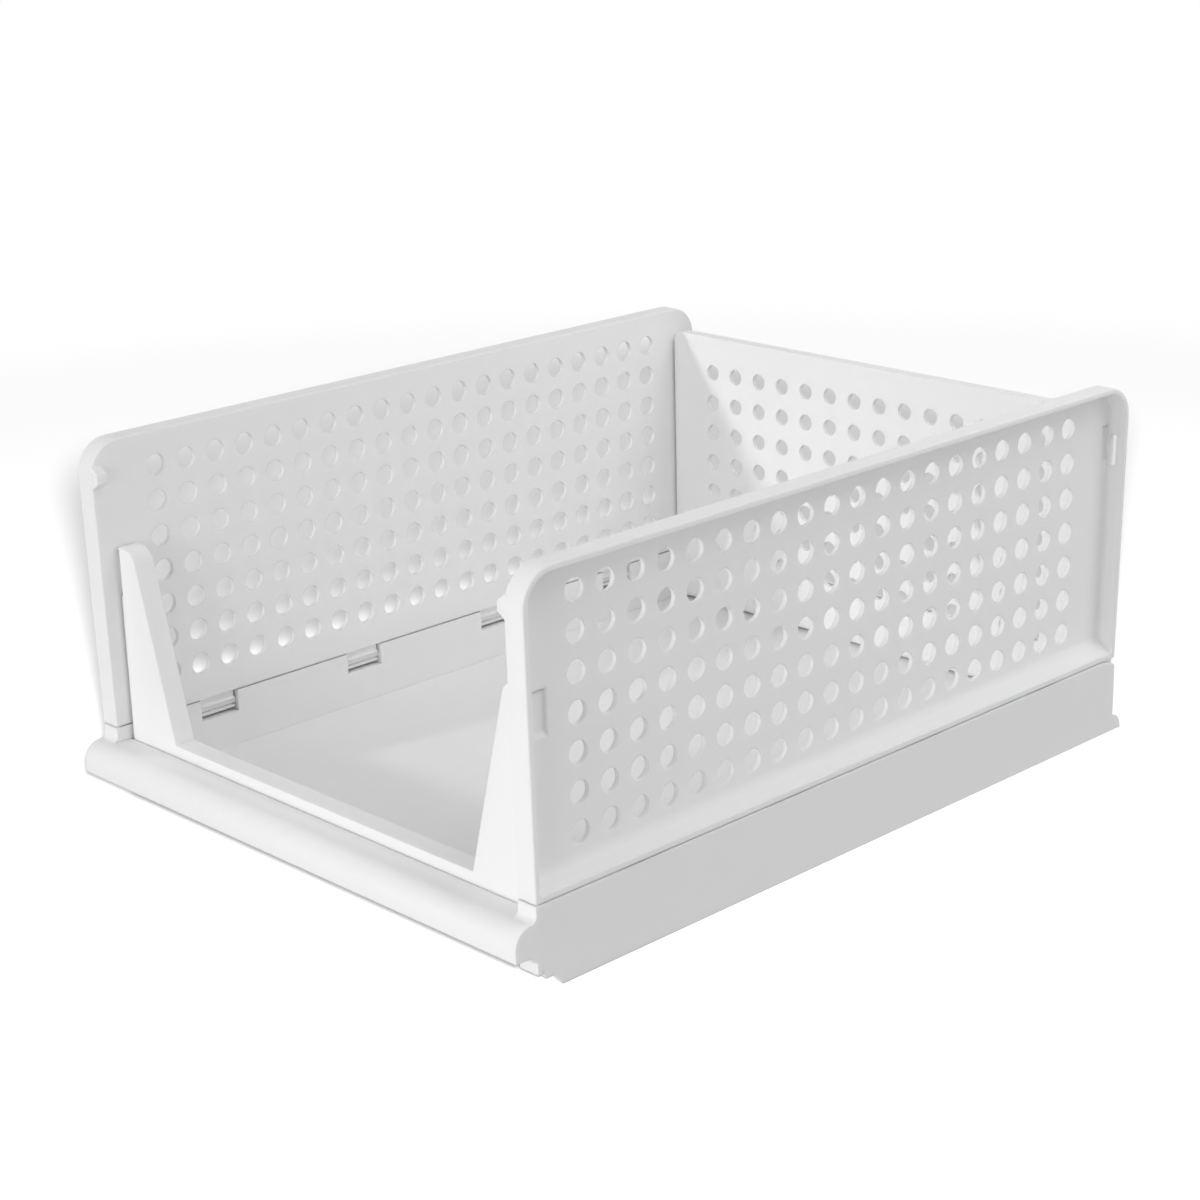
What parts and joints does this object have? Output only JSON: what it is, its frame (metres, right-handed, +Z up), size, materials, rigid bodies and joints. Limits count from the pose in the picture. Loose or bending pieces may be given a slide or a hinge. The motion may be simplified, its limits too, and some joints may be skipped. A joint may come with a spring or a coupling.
{
  "type": "stackable storage box",
  "caption": "Open-front stacking storage box of white moulded plastic, with perforated fold-down walls hinged to a shallow base that has a rolled front handle lip.",
  "frame": {"origin": "centre of the standing box's bounding box, on the floor it stands on", "axes": "+Z up, +Y from the open front to the back wall, +X to the right as seen from the front"},
  "size_m": [0.308, 0.42, 0.181],
  "materials": {
    "white_plastic": "satin moulded polypropylene"
  },
  "bodies": {
    "base": {"base_tray": "white_plastic"},
    "right_wall": {"right_side_panel": "white_plastic"},
    "left_wall": {"left_side_panel": "white_plastic"},
    "front_wall": {"front_panel": "white_plastic"},
    "back_wall": {"back_panel": "white_plastic"}
  },
  "joints": [
    {"name": "front_wall_fold", "type": "hinge", "parent": "base", "child": "front_wall", "pos_m": [0, -0.1843, 0.0168], "axis": [-1, 0, 0], "range_deg": [0, 90]},
    {"name": "back_wall_fold", "type": "hinge", "parent": "base", "child": "back_wall", "pos_m": [0, 0.1951, 0.0162], "axis": [1, 0, 0], "range_deg": [0, 90]},
    {"name": "right_wall_splay", "type": "hinge", "parent": "base", "child": "right_wall", "pos_m": [0.1474, 0, 0.0332], "axis": [0, 1, 0], "range_deg": [0, 5]},
    {"name": "left_wall_splay", "type": "hinge", "parent": "base", "child": "left_wall", "pos_m": [-0.1474, 0, 0.0332], "axis": [0, -1, 0], "range_deg": [0, 5]}
  ]
}
